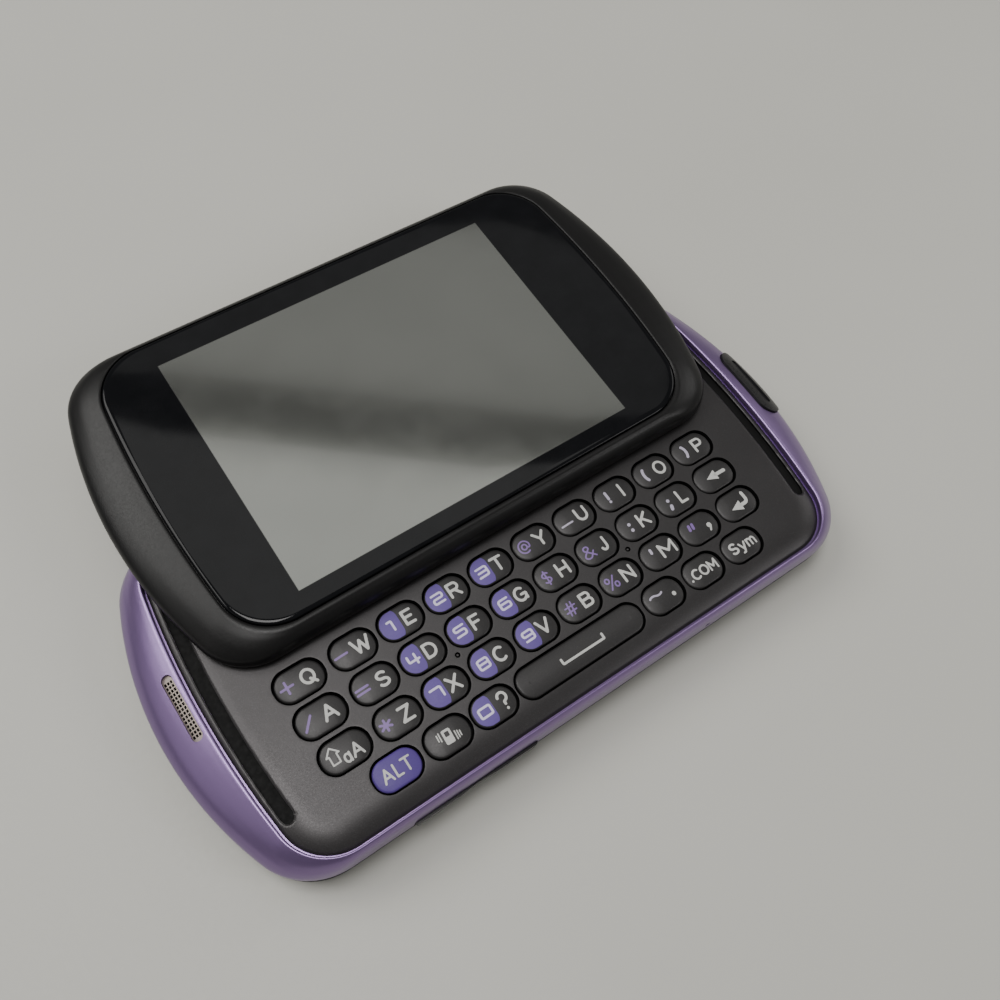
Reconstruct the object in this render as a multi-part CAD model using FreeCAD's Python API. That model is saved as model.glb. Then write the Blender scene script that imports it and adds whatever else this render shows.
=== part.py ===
import FreeCAD, Part
import math, os

os.makedirs("parts", exist_ok=True)
V = FreeCAD.Vector

# ---------------------------------------------------------------- driving dimensions (mm)
# Row frame: origin at the centre of the base's flat bottom, +X along the phone's length
# (to the right of a reader of the keyboard), +Y towards the side the slider opens to, +Z up.
TRAVEL = 28.1          # slider travel, stored open
DEPTH_HALF = 27.2      # half of the short side, base and slider
BASE_HALF = 55.2       # half of the base's length, at the widest height
SLIDER_HALF = 47.7     # half of the slider's length
Z_SPLIT = 4.4          # seam between the dark rear shell and the coloured rim
Z_RIM = 10.25          # top of the rim's inner edge
Z_DECK = 10.30         # top of the keyboard deck
Z_KEY = 10.42          # top of a key's crown
Z_SLIDER = 10.70       # underside of the slider
Z_TOP = 15.0           # top of the touch window
KEY_W, KEY_D, KEY_R = 6.76, 4.70, 2.16
KEY_GAP = 0.27         # gap all round a key
PITCH_X, PITCH_Y = 7.77, 5.796
ROW1_Y = -3.06
SPACE_W = 21.95
KEY_TRAVEL = 0.35
SCREEN = (-29.83, 27.77, 6.70, 49.08)  # active area on the window: x0, x1, y0, y1
YO = TRAVEL            # centre of the slider in the stored open pose


def outline(a, b, R, r, z, y0=0.0):
    """Closed outline: straight long sides at y0 +- b, bowed ends of radius R that reach x = +-a,
    and corner arcs of radius r tangent to both."""
    cx = a - R
    fx = cx + math.sqrt((R - r) ** 2 - (b - r) ** 2)
    d = math.hypot(fx - cx, b - r)
    tx, ty = cx + (fx - cx) * R / d, (b - r) * R / d
    mx, my = (fx - cx) / d, (b - r) / d
    bx, by = mx, my + 1.0
    n = math.hypot(mx, my + 1.0)
    bx, by = mx / n, (my + 1.0) / n

    def P(x, y):
        return V(x, y0 + y, z)
    e = []
    e.append(Part.Arc(P(tx, -ty), P(a, 0), P(tx, ty)).toShape())
    e.append(Part.Arc(P(tx, ty), P(fx + r * bx, b - r + r * by), P(fx, b)).toShape())
    e.append(Part.makeLine(P(fx, b), P(-fx, b)))
    e.append(Part.Arc(P(-fx, b), P(-fx - r * bx, b - r + r * by), P(-tx, ty)).toShape())
    e.append(Part.Arc(P(-tx, ty), P(-a, 0), P(-tx, -ty)).toShape())
    e.append(Part.Arc(P(-tx, -ty), P(-fx - r * bx, -(b - r + r * by)), P(-fx, -b)).toShape())
    e.append(Part.makeLine(P(-fx, -b), P(fx, -b)))
    e.append(Part.Arc(P(fx, -b), P(fx + r * bx, -(b - r + r * by)), P(tx, -ty)).toShape())
    return Part.Wire(e)


def slab(a, b, R, r, z0, z1, y0=0.0):
    return Part.Face(outline(a, b, R, r, z0, y0)).extrude(V(0, 0, z1 - z0))


def loft(sections, y0=0.0):
    ws = [outline(a, b, R, r, z, y0) for (z, a, b, R, r) in sections]
    return Part.makeLoft(ws, True, False)


def box(x0, x1, y0, y1, z0, z1):
    return Part.makeBox(x1 - x0, y1 - y0, z1 - z0, V(x0, y0, z0))


def cyl(x, y, r, z0, z1):
    return Part.makeCylinder(r, z1 - z0, V(x, y, z0))


def rbox(cx, cy, w, d, r, z0, z1):
    """Upright block with rounded corners."""
    s = box(cx - w / 2, cx + w / 2, cy - d / 2, cy + d / 2, z0, z1)
    es = [e for e in s.Edges if abs(e.Vertexes[0].Z - e.Vertexes[1].Z) > 1e-6]
    return s.makeFillet(min(r, w / 2 - 1e-3, d / 2 - 1e-3), es)


def cutall(s, tools):
    for t in tools:
        s = s.cut(t)
    return s


def one(s):
    s = s.removeSplitter()
    if s.ShapeType == "Compound" and len(s.Solids) == 1:
        s = s.Solids[0]
    return s


NODES = {}


def add(name, s):
    NODES[name] = one(s)


# ---------------------------------------------------------------- key positions
ROWS = [["q", "w", "e", "r", "t", "y", "u", "i", "o", "p"],
        ["a", "s", "d", "f", "g", "h", "j", "k", "l", "backspace"],
        ["shift", "z", "x", "c", "v", "b", "n", "m", "comma", "enter"]]
KEYS = {}
for ri, row in enumerate(ROWS):
    for ci, k in enumerate(row):
        x, w = (ci - 4.5) * PITCH_X + (0.15 if ri == 2 else 0.0), KEY_W
        if ci == 0:
            x, w = (-35.635, 7.32) if ri < 2 else (-35.30, 7.26)
        if ci == 9:
            x, w = 35.25, 7.08
        KEYS["key_" + k] = (x, ROW1_Y - ri * PITCH_Y, w)
ROW4_Y = ROW1_Y - 3 * PITCH_Y
for k, x, w in (("alt", -30.77, 7.08), ("vibrate", -22.70, 6.88), ("zero", -15.10, 6.88), ("tilde", 15.54, 6.76), ("dotcom", 23.34, 6.76), ("symbol", 31.20, 6.86)):
    KEYS["key_" + k] = (x, ROW4_Y, w)
KEYS["key_space"] = (0.06, ROW4_Y, SPACE_W)

# ---------------------------------------------------------------- base: rear shell
rear = loft([(0.0, 50.6, 25.7, 59, 9.0), (0.5, 51.9, 26.2, 58.5, 9.1), (1.8, 53.6, 26.8, 58, 9.2),
             (Z_SPLIT, 54.9, 27.15, 57, 9.3)])
rear = rear.cut(slab(52.6, 25.5, 57, 8.2, 3.0, 6.0))
rear = rear.cut(slab(49.6, 24.6, 58, 7.6, 1.25, 6.0))
SCREWS = [(sx * 44.5, sy * 18.0) for sx in (-1, 1) for sy in (-1, 1)]
for x, y in SCREWS:
    rear = rear.fuse(cyl(x, y, 2.2, 1.2, Z_SPLIT))
# battery bay opening in the floor, closed by the cover
BAY = (-33.0, 33.0, -19.5, 19.5)
rear = rear.cut(rbox(0, 0, 66.0, 39.0, 3.0, -1.0, 2.0))
for x, y in SCREWS:
    rear = rear.cut(cyl(x, y, 1.7, -1.0, 0.95)).cut(cyl(x, y, 0.9, -1.0, 6.0))
CAM = (39.5, 6.0)
rear = rear.cut(cyl(CAM[0], CAM[1], 3.2, -1.0, 0.85)).cut(cyl(CAM[0], CAM[1], 2.4, -1.0, 2.0))
# slot beside the bay for the lanyard eye and a microphone pinhole in the wall
rear = rear.cut(cyl(-39.0, -22.0, 0.5, -1.0, 2.0))
add("rear_housing", rear)

cover = rbox(0, 0, 65.6, 38.6, 2.8, 0.0, 1.0)
cover = cover.cut(rbox(20.0, 0, 7.0, 12.0, 2.0, -0.3, 0.25))
add("battery_cover", cover)

# ---------------------------------------------------------------- base: coloured rim
RIM = [(Z_SPLIT, 54.85, 27.12, 57, 10.2), (5.6, 55.2, 27.2, 57, 10.2), (6.8, 55.1, 27.2, 57.5, 10.1),
       (8.0, 54.1, 27.15, 62, 9.8), (9.0, 52.5, 27.02, 74, 9.3), (9.75, 50.9, 26.8, 95, 8.8), (Z_RIM, 49.6, 26.5, 122, 8.4)]
rim_outer = loft(RIM)
rim = rim_outer.cut(slab(48.85, 26.12, 140, 7.85, 8.95, 12.0))
rim = rim.cut(slab(47.0, 24.9, 130, 6.9, 8.0, 9.2))
rim = rim.cut(slab(51.4, 25.6, 60, 8.6, 3.0, 8.2))
for x, y in SCREWS:
    rim = rim.fuse(cyl(x, y, 2.2, Z_SPLIT + 0.02, 8.6))
    rim = rim.cut(cyl(x, y, 0.82, 3.0, 7.4))
# sound slot in the left end of the rim
SLOT = (-50.45, 2.2, 1.6, 10.4)
rim = rim.cut(rbox(SLOT[0], SLOT[1], SLOT[2], SLOT[3], 0.72, 7.6, 12.0))
# port recess in the right end: an oblong pocket square to the sloping face
TILT = 53.0
PORT_C = V(53.2, 2.15, 8.45)


def port_prism(w, l, d0, d1):
    s = box(d0, d1, -l / 2, l / 2, -w / 2, w / 2)
    es = [e for e in s.Edges if abs(e.Vertexes[0].X - e.Vertexes[1].X) > 1e-6]
    s = s.makeFillet(w / 2 - 0.05, es)
    s.rotate(V(0, 0, 0), V(0, 1, 0), -TILT)
    s.translate(PORT_C)
    return s


rim = rim.cut(port_prism(5.4, 13.9, -1.5, 6.0))
rim = rim.cut(box(44.0, 51.0, -2.0, 6.3, 6.2, 8.93)).cut(box(50.0, 53.0, -1.75, 6.05, 6.95, 8.55))
# rocker slot in the front wall
ROCK = (-21.9, 5.9, 20.2, 1.9)
rim = rim.cut(rbox(ROCK[0], -27.0, 1, 1, 0.3, -1, 0))
slot = box(ROCK[0] - ROCK[2] / 2 - 0.15, ROCK[0] + ROCK[2] / 2 + 0.15, -29.0, -25.0, ROCK[1] - ROCK[3] / 2 - 0.12, ROCK[1] + ROCK[3] / 2 + 0.12)
rim = rim.cut(slot)
rim = rim.cut(Part.makeCylinder(0.45, 4.0, V(19.8, -29.0, 7.2), V(0, 1, 0)))
add("rim_frame", rim)

# speaker grille, a shallow perforated strip set into the slot
gr = rbox(SLOT[0], SLOT[1], SLOT[2] - 0.06, SLOT[3] - 0.06, 0.69, 8.6, 12.0)
low = rim_outer.copy()
low.translate(V(0, 0, -0.55))
gr = gr.common(low)
for i in range(15):
    for j in (-1, 0, 1):
        gr = gr.cut(cyl(SLOT[0] + j * 0.42, SLOT[1] - 4.41 + i * 0.63, 0.14, 8.0, 12.0))
add("speaker_grille", gr)

# port cover: fills the pocket, a little proud of the rim, with a nail slit
pc = port_prism(5.2, 13.7, -1.3, 6.0)
outc = rim_outer.copy()
outc.translate(V(0.32, 0, 0.24))
pc = pc.common(outc)
pc = pc.cut(port_prism(1.3, 9.6, 0.15, 6.0))
add("port_cover", pc)

# volume rocker on the front side, thicker at its two ends
rk = rbox(ROCK[0], -26.45, ROCK[2] - 0.15, 2.3, 0.5, ROCK[1] - ROCK[3] / 2, ROCK[1] + ROCK[3] / 2)
rk = rk.cut(Part.makeCylinder(30.0, 4, V(ROCK[0], -27.6 - 29.85, ROCK[1] - 2), V(0, 0, 1)))
rk = rk.cut(box(ROCK[0] - 8.0, ROCK[0] + 8.0, -26.2, -24.0, 0, 12))
add("volume_rocker", rk)

# ---------------------------------------------------------------- base: keyboard deck
DECK = (48.58, 25.86, 140, 7.6)
deck = slab(DECK[0], DECK[1], DECK[2], DECK[3], 9.0, Z_DECK)
es = [e for e in deck.Edges if all(abs(v.Z - Z_DECK) < 1e-6 for v in e.Vertexes)]
deck = deck.makeFillet(0.75, es)
# curved channels beside the deck's two ends
for s in (-1, 1):
    R1, R2 = 150.0, 150.0
    ring = Part.makeCylinder(R1, 2.0, V(s * (47.65 - R1), -1.0, 9.45)).cut(Part.makeCylinder(R2, 2.0, V(s * (45.40 - R2), -1.0, 9.45)))
    span = box(min(s * 40, s * 50), max(s * 40, s * 50), -19.1, 21.0, 9.0, 12.0)
    ch = ring.common(span)
    tip = cyl(s * 45.43, -19.1, 1.12, 9.45, 12.0)
    tip2 = cyl(s * 45.0, 21.0, 1.12, 9.45, 12.0)
    deck = deck.cut(ch).cut(tip).cut(tip2)
holes = []
for k, (x, y, w) in KEYS.items():
    holes.append(rbox(x, y, w + 2 * KEY_GAP, KEY_D + 2 * KEY_GAP, KEY_R + KEY_GAP, 8.0, 12.0))
deck = deck.cut(Part.makeCompound(holes))
deck = deck.cut(cyl(-15.3, -11.6, 0.42, 9.6, 12.0)).cut(cyl(15.55, -11.6, 0.42, 9.6, 12.0))
# recess for the slide shoe's plate
deck = deck.cut(rbox(0, 15.2, 82.2, 18.2, 1.5, 9.75, 12.0))
deck = deck.cut(box(-4.6, 4.6, 13.9, 16.3, 8.0, 12.0))
add("keyboard_deck", deck)

# ---------------------------------------------------------------- keys
for k, (x, y, w) in KEYS.items():
    body = rbox(x, y, w, KEY_D, KEY_R, 9.2, Z_KEY)
    if w > 10:
        crown = Part.makeCylinder(9.5, 40, V(x - 20, y, Z_KEY - 9.5), V(1, 0, 0))
        body = body.common(crown)
    else:
        body = body.common(Part.makeSphere(15.0, V(x, y, Z_KEY - 15.0)))
    top = [e for e in body.Edges if min(v.Z for v in e.Vertexes) > 9.6]
    try:
        body = body.makeFillet(0.22, top)
    except Exception:
        pass
    stems = [0.0] if w < 10 else [-7.5, 0.0, 7.5]
    for dx in stems:
        body = body.fuse(cyl(x + dx, y, 0.9, 8.25, 9.4))
    add(k, body)

# ---------------------------------------------------------------- base: what it holds
dome = slab(43.4, 23.6, 112, 6.0, 7.12, 7.30)
dome = dome.cut(box(-42, 42, 2.6, 30, 6, 9))
domes = []
for k, (x, y, w) in KEYS.items():
    for dx in ([0.0] if w < 10 else [-7.5, 0.0, 7.5]):
        s = Part.makeSphere(4.0, V(x + dx, y, 7.75 - 4.0)).common(cyl(x + dx, y, 1.9, 7.2, 9.0))
        domes.append(s)
for s in domes:
    dome = dome.fuse(s)
for x, y in SCREWS:
    dome = dome.cut(cyl(x, y, 2.5, 6.0, 9.0))
add("dome_sheet", dome)

pcb = slab(45.6, 23.9, 70, 7.0, 6.30, 7.12)
for x, y in SCREWS:
    pcb = pcb.cut(cyl(x, y, 2.5, 5.0, 9.0))
for (x0, x1, y0, y1, h) in [(-30, -18, 7, 17, 1.0), (-12, -6, 8, 14, 0.8), (-12, -4, 18, 22, 0.7), (10, 16, 6, 11, 0.7), (26, 34, 9, 19, 1.2)]:
    pcb = pcb.fuse(box(x0, x1, y0, y1, 7.1, 7.1 + h))
add("main_board", pcb)
can = box(-3.2, 8.0, 5.5, 12.6, 7.14, 8.5).cut(box(-3.0, 7.8, 5.7, 12.4, 7.0, 8.3))
add("shield_can", can)
bat = rbox(-2.0, 0, 58.0, 35.0, 2.0, 1.25, 6.05)
es = [e for e in bat.Edges if all(abs(v.Z - 1.25) < 1e-6 or abs(v.Z - 6.05) < 1e-6 for v in e.Vertexes) and abs(e.Vertexes[0].Z - e.Vertexes[-1].Z) < 1e-6]
bat = bat.makeFillet(0.6, es)
add("battery", bat)
spk = rbox(-45.6, 2.2, 7.0, 12.0, 2.0, 1.6, 5.9).fuse(rbox(-45.6, 2.2, 5.0, 10.0, 1.6, 5.8, 6.2))
add("loudspeaker", spk)
cam = rbox(CAM[0], CAM[1], 8.0, 8.0, 1.0, 1.4, 5.6).fuse(cyl(CAM[0], CAM[1], 2.2, 0.95, 1.6))
add("camera_module", cam)
win = cyl(CAM[0], CAM[1], 3.1, 0.2, 0.8)
add("camera_window", win)
usb = box(45.5, 50.4, -1.6, 5.9, 7.14, 8.75).cut(box(46.0, 53.0, -1.4, 5.7, 7.32, 8.57))
usb = usb.fuse(box(45.8, 49.7, -0.2, 4.5, 7.72, 8.12))
add("usb_socket", usb)
sc = []
for x, y in SCREWS:
    h = cyl(x, y, 1.5, 0.3, 0.95).fuse(cyl(x, y, 0.8, 0.9, 7.0))
    h = h.cut(box(x - 1.0, x + 1.0, y - 0.17, y + 0.17, 0.0, 0.62)).cut(box(x - 0.17, x + 0.17, y - 1.0, y + 1.0, 0.0, 0.62))
    sc.append(one(h))
NODES["housing_screws"] = Part.makeCompound(sc)

# slide shoe: a plate set into the deck, and two T-section rails that run in the slider
RAIL_X = 36.0
shoe = rbox(0, 15.2, 82.0, 18.0, 1.4, 9.75, 10.30)
shoe = shoe.cut(rbox(0, 15.1, 9.6, 2.6, 0.8, 9.0, 11.0))
for s in (-1, 1):
    x = s * RAIL_X
    shoe = shoe.fuse(box(x - 1.0, x + 1.0, 7.6, 20.8, 10.2, 11.75))
    shoe = shoe.fuse(box(x - 1.7, x + 1.7, 7.6, 20.8, 11.70, 12.15))
add("slide_shoe", shoe)

# ---------------------------------------------------------------- slider
SL = [(Z_SLIDER, 46.7, 26.7, 76, 8.0), (11.15, 47.5, 27.1, 74, 8.4), (11.9, SLIDER_HALF, DEPTH_HALF, 74, 8.5),
      (12.9, 47.1, 27.12, 78, 8.5), (13.8, 45.2, 26.8, 95, 8.5), (14.45, 43.0, 26.2, 130, 8.5), (14.82, 41.2, 25.55, 165, 8.4)]
hou = loft(SL, YO)
LY = 28.5
hou = hou.cut(slab(40.6, 25.2, 178, 8.3, 13.82, 16.0, LY))
hou = hou.cut(slab(39.4, 24.0, 178, 7.2, 12.42, 14.5, LY))
hou = hou.cut(slab(39.4, 24.6, 178, 5.4, 11.3, 13.0, YO))
hou = hou.cut(slab(45.0, 25.6, 110, 7.2, 10.0, 11.42, YO))
add("slider_housing", hou)

lens = slab(40.45, 25.05, 178, 8.2, 13.92, Z_TOP, LY)
es = [e for e in lens.Edges if all(abs(v.Z - Z_TOP) < 1e-6 for v in e.Vertexes)]
lens = lens.makeFillet(0.35, es)
add("touch_window", lens)

x0, x1, y0, y1 = SCREEN
lcd = box(x0 - 2.4, x1 + 4.6, y0 - 1.6, y1 + 1.6, 12.5, 13.2).fuse(box(x0 - 0.8, x1 + 0.8, y0 - 0.8, y1 + 0.8, 13.1, 13.88))
add("display_panel", lcd)

plate = slab(44.85, 25.45, 110, 7.1, Z_SLIDER, 11.38, YO)
SY0, SY1 = 7.6 - 0.35, 20.8 + TRAVEL + 0.35
for s in (-1, 1):
    x = s * RAIL_X
    plate = plate.cut(box(x - 1.25, x + 1.25, SY0, SY1, 9.0, 13.0))
plate = plate.cut(rbox(0, 15.1 + TRAVEL / 2, 9.6, 2.6 + TRAVEL, 0.8, 9.0, 13.0))
for s in (-1, 1):
    plate = plate.cut(rbox(s * 22.0, YO, 12.0, 34.0, 1.5, 9.0, 10.85))
add("slide_plate", plate)

ear = rbox(-34.9, 24.0, 4.6, 11.0, 1.5, 12.5, 13.7)
add("earpiece", ear)

# flexible circuit: rises from the board through the deck, folds over once, and ends at the display
W2 = 4.0
fx = box(-W2, W2, 15.0, 15.2, 7.16, 11.72)
fx = fx.fuse(box(-W2, W2, 15.0, 38.0, 11.60, 11.74))
ringf = Part.makeCylinder(0.30, 2 * W2, V(-W2, 38.0, 11.90), V(1, 0, 0)).cut(Part.makeCylinder(0.16, 2 * W2, V(-W2, 38.0, 11.90), V(1, 0, 0)))
ringf = ringf.common(box(-W2, W2, 38.0, 39.0, 11, 13))
fx = fx.fuse(ringf).fuse(box(-W2, W2, 22.0, 38.0, 12.06, 12.20)).fuse(box(-W2, W2, 20.0, 23.5, 12.06, 12.46))
add("flex_cable", fx)

# ---------------------------------------------------------------- export
bad = 0
for name, s in NODES.items():
    ok = s.isValid()
    if not ok or not s.Solids:
        bad += 1
        print("BAD", name, s.ShapeType, len(s.Solids), ok)
    bb = s.BoundBox
    print("%-16s solids %d vol %9.2f  x %.2f..%.2f y %.2f..%.2f z %.2f..%.2f" % (name, len(s.Solids), s.Volume, bb.XMin, bb.XMax, bb.YMin, bb.YMax, bb.ZMin, bb.ZMax))
    s.exportStep("parts/%s.step" % name)
print("nodes", len(NODES), "bad", bad)
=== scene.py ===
import math

import bpy
import numpy as np
from mathutils import Matrix, Vector


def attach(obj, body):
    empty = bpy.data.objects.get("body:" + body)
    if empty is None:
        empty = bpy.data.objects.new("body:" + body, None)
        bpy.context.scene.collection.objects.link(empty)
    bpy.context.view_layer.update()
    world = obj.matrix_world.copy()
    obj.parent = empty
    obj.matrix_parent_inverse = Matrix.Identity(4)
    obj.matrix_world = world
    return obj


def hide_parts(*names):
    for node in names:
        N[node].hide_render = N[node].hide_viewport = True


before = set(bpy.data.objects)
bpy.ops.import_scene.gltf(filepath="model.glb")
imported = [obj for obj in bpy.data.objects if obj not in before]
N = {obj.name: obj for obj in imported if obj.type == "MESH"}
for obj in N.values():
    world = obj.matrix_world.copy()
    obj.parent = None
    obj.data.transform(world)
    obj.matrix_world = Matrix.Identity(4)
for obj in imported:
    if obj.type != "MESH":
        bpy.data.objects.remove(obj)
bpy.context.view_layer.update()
MM = 0.001

# ------------------------------------------------------------------ camera
cam_data = bpy.data.cameras.new("camera")
cam = bpy.data.objects.new("camera", cam_data)
bpy.context.scene.collection.objects.link(cam)
bpy.context.scene.camera = cam
cam_data.sensor_width = 36.0
cam_data.lens = 36.0157
cam_data.clip_start = 0.005
cam_data.clip_end = 20.0
view = Vector((0.3334, 0.30654, -0.89156)).normalized()
up = Vector((0.46654, 0.76812, 0.43856))
right = view.cross(up).normalized()
up = right.cross(view).normalized()
cam.matrix_world = Matrix(((right.x, up.x, -view.x, -0.047199),
                           (right.y, up.y, -view.y, -0.041363),
                           (right.z, up.z, -view.z, 0.146093),
                           (0, 0, 0, 1)))


# ------------------------------------------------------------------ materials
class Nodes:
    """A small helper that wires procedural materials."""

    def __init__(self, name):
        self.m = bpy.data.materials.new(name)
        self.m.use_nodes = True
        self.t = self.m.node_tree
        self.t.nodes.clear()
        self.out = self.t.nodes.new("ShaderNodeOutputMaterial")
        self.b = self.t.nodes.new("ShaderNodeBsdfPrincipled")
        self.t.links.new(self.b.outputs[0], self.out.inputs[0])
        self.co = self.t.nodes.new("ShaderNodeTexCoord").outputs["Object"]

    def link(self, a, b):
        self.t.links.new(a, b)

    def put(self, **kw):
        for k, v in kw.items():
            self.b.inputs[k.replace("_", " ")].default_value = v

    def noise(self, scale, detail=3.0, rough=0.55, co=None):
        n = self.t.nodes.new("ShaderNodeTexNoise")
        n.inputs["Scale"].default_value = scale
        n.inputs["Detail"].default_value = detail
        n.inputs["Roughness"].default_value = rough
        self.link(co or self.co, n.inputs["Vector"])
        return n.outputs["Fac"]

    def voronoi(self, scale, feature="F1", out="Distance", co=None):
        n = self.t.nodes.new("ShaderNodeTexVoronoi")
        n.feature = feature
        n.inputs["Scale"].default_value = scale
        self.link(co or self.co, n.inputs["Vector"])
        return n.outputs[out]

    def ramp(self, fac, stops):
        r = self.t.nodes.new("ShaderNodeValToRGB")
        e = r.color_ramp.elements
        while len(e) < len(stops):
            e.new(0.5)
        for el, (p, c) in zip(e, stops):
            el.position = p
            el.color = (*c, 1.0) if len(c) == 3 else c
        self.link(fac, r.inputs[0])
        return r.outputs[0]

    def maprange(self, fac, a, b, c, d, smooth=False):
        r = self.t.nodes.new("ShaderNodeMapRange")
        if smooth:
            r.interpolation_type = "SMOOTHSTEP"
        for i, v in zip((1, 2, 3, 4), (a, b, c, d)):
            r.inputs[i].default_value = v
        self.link(fac, r.inputs[0])
        return r.outputs[0]

    def math(self, op, a, b=None, c=None):
        n = self.t.nodes.new("ShaderNodeMath")
        n.operation = op
        for i, v in enumerate((a, b, c)):
            if v is None:
                continue
            if isinstance(v, (int, float)):
                n.inputs[i].default_value = v
            else:
                self.link(v, n.inputs[i])
        return n.outputs[0]

    def mix(self, fac, a, b, mode="MIX"):
        n = self.t.nodes.new("ShaderNodeMix")
        n.data_type = "RGBA"
        n.blend_type = mode
        if isinstance(fac, (int, float)):
            n.inputs[0].default_value = fac
        else:
            self.link(fac, n.inputs[0])
        for i, v in ((6, a), (7, b)):
            if isinstance(v, tuple):
                n.inputs[i].default_value = (*v, 1.0)
            else:
                self.link(v, n.inputs[i])
        return n.outputs[2]

    def xyz(self):
        n = self.t.nodes.new("ShaderNodeSeparateXYZ")
        self.link(self.co, n.inputs[0])
        return n.outputs

    def scaled(self, sx, sy, sz):
        n = self.t.nodes.new("ShaderNodeMapping")
        n.inputs["Scale"].default_value = (sx, sy, sz)
        self.link(self.co, n.inputs["Vector"])
        return n.outputs[0]

    def bump(self, height, dist, strength=1.0, prev=None):
        n = self.t.nodes.new("ShaderNodeBump")
        n.inputs["Distance"].default_value = dist
        n.inputs["Strength"].default_value = strength
        self.link(height, n.inputs["Height"])
        if prev is not None:
            self.link(prev, n.inputs["Normal"])
        return n.outputs[0]

    def color(self, c):
        self.link(c, self.b.inputs["Base Color"])

    def rough(self, r):
        self.link(r, self.b.inputs["Roughness"])

    def normal(self, n):
        self.link(n, self.b.inputs["Normal"])


def satin(name, dark, light, r0, r1, metallic=0.0, grain=2600.0, bump=6e-6, spark=0.0, coat=0.0, coat_rough=0.2, spec=0.5, cloud=90.0, flakes=16000.0):
    """Painted or moulded satin plastic: slow tone drift, fine grain in colour, gloss and bump, optional sparkle."""
    m = Nodes(name)
    g = m.noise(grain, 4.0, 0.6)
    c = m.noise(cloud, 3.0, 0.5)
    base = m.ramp(m.math("ADD", m.math("MULTIPLY", g, 0.6), m.math("MULTIPLY", c, 0.4)), [(0.3, dark), (0.7, light)])
    if spark:
        v = m.voronoi(flakes, out="Color")
        sp = m.t.nodes.new("ShaderNodeSeparateColor")
        m.link(v, sp.inputs[0])
        fleck = m.maprange(sp.outputs[0], 0.86, 0.98, 0.0, spark)
        base = m.mix(fleck, base, tuple(min(1.0, x * 5 + 0.15) for x in light))
    m.color(base)
    m.rough(m.maprange(m.noise(grain * 0.6, 2.0), 0.3, 0.7, r0, r1))
    m.put(Metallic=metallic)
    m.b.inputs["Specular IOR Level"].default_value = spec
    m.b.inputs["Coat Weight"].default_value = coat
    m.b.inputs["Coat Roughness"].default_value = coat_rough
    n1 = m.bump(g, bump)
    n2 = m.bump(m.noise(420.0, 2.0), bump * 2.0, 0.5, n1)
    m.normal(n2)
    return m.m


M = {}
M["rim"] = satin("rim_purple_satin", (0.235, 0.156, 0.330), (0.262, 0.176, 0.365), 0.30, 0.36, metallic=0.86, grain=9000.0, bump=5e-7, coat=0.12, coat_rough=0.18)
M["shell"] = satin("shell_black_matt", (0.010, 0.010, 0.011), (0.018, 0.017, 0.019), 0.45, 0.62, grain=3200.0, bump=1.4e-5)
M["cover"] = satin("cover_black_satin", (0.006, 0.0058, 0.0065), (0.011, 0.0105, 0.012), 0.26, 0.34, grain=4200.0, bump=2e-6, spec=0.3)
# Near-black material that is painted shade: it goes on the groove floor sheet, the deck's key-hole and groove walls and
# the dome sheet so the grooves and key gaps read dark.
M["painted_gap_shade"] = satin("painted_shade_black", (0.003, 0.003, 0.003), (0.006, 0.006, 0.006), 0.55, 0.7, grain=3000.0, bump=4e-6, spec=0.12)
M["deck"] = satin("deck_charcoal_paint", (0.036, 0.034, 0.035), (0.049, 0.0465, 0.0475), 0.34, 0.42, metallic=0.60, grain=7000.0, bump=4e-6, spark=0.05, spec=0.4)
M["key"] = satin("key_charcoal_paint", (0.030, 0.0288, 0.0295), (0.041, 0.0395, 0.040), 0.36, 0.44, metallic=0.45, grain=7000.0, bump=3e-6, spark=0.04, spec=0.35)
M["key_purple"] = satin("key_purple_paint", (0.072, 0.043, 0.200), (0.084, 0.052, 0.225), 0.40, 0.50, grain=5200.0, bump=2e-6, spec=0.28)
M["patch"] = satin("legend_purple_paint", (0.095, 0.060, 0.240), (0.110, 0.072, 0.270), 0.44, 0.54, grain=5200.0, bump=2e-6, spec=0.28)
M["ink"] = satin("legend_pale_paint", (0.43, 0.43, 0.415), (0.54, 0.54, 0.52), 0.42, 0.52, grain=5200.0, bump=2e-6)
M["ink_digit"] = satin("legend_lilac_white_paint", (0.52, 0.48, 0.66), (0.62, 0.58, 0.76), 0.42, 0.52, grain=5200.0, bump=2e-6)
M["ink_purple"] = satin("legend_violet_paint", (0.160, 0.092, 0.285), (0.190, 0.112, 0.330), 0.42, 0.52, grain=5200.0, bump=2e-6)
M["ink_lilac"] = satin("legend_grey_lilac_paint", (0.36, 0.33, 0.42), (0.44, 0.41, 0.50), 0.42, 0.52, grain=5200.0, bump=2e-6)
M["housing"] = satin("slider_charcoal_satin", (0.0060, 0.0058, 0.0060), (0.0095, 0.0092, 0.0094), 0.30, 0.40, grain=5200.0, bump=2e-6, spec=0.24)
M["inner"] = satin("inner_black_plastic", (0.012, 0.012, 0.012), (0.025, 0.025, 0.025), 0.5, 0.65, grain=2000.0, bump=1e-5)
M["battery"] = satin("battery_wrap_film", (0.10, 0.10, 0.115), (0.14, 0.14, 0.155), 0.3, 0.4, grain=1500.0, bump=4e-6, cloud=60)


def steel(name, tone, r0, r1, along="x"):
    m = Nodes(name)
    s = (60, 6000, 6000) if along == "x" else (6000, 60, 6000)
    st = m.noise(1.0, 3.0, 0.6, m.scaled(*s))
    m.color(m.ramp(st, [(0.3, tuple(tone * k for k in (0.92, 0.92, 0.93))), (0.7, (tone, tone, tone * 1.01))]))
    m.put(Metallic=1.0)
    m.rough(m.maprange(st, 0.3, 0.7, r0, r1))
    m.normal(m.bump(st, 2e-6, 0.6))
    return m.m


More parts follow.
